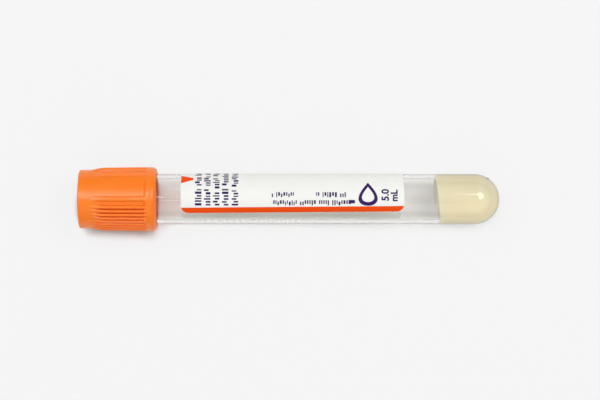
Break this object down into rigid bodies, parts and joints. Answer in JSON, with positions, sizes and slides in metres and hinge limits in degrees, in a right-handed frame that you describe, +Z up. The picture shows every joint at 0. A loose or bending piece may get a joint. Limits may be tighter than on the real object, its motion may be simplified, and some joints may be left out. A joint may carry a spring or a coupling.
{
  "type": "blood collection tube",
  "caption": "Clear plastic tube with a round bottom holding gel, a wrapped film label, and a ribbed orange safety closure over a rubber stopper.",
  "frame": {"origin": "bottom centre of the part's box as it lies on its side on a flat surface", "axes": "+X along the tube from the closure to the round bottom, dipping 1.2 degrees because the closure is the wider end; +Y towards the back; +Z up"},
  "size_m": [0.1088, 0.0166, 0.0166],
  "materials": {
    "clear_plastic": "clear, smooth, glossy PET",
    "orange_plastic": "moulded, satin gloss, slightly translucent",
    "grey_rubber": "moulded butyl rubber, matt",
    "barrier_gel": "soft translucent cream gel, wet against the wall",
    "label_film": "white film label, satin, printed"
  },
  "bodies": {
    "tube": {"tube": "clear_plastic", "gel": "barrier_gel", "label": "label_film"},
    "closure": {"shield": "orange_plastic", "stopper": "grey_rubber"}
  },
  "joints": [
    {"name": "closure_pull", "type": "slide", "parent": "tube", "child": "closure", "axis": [-0.9998, 0, 0.0206], "range_m": [0, 0.02]}
  ]
}
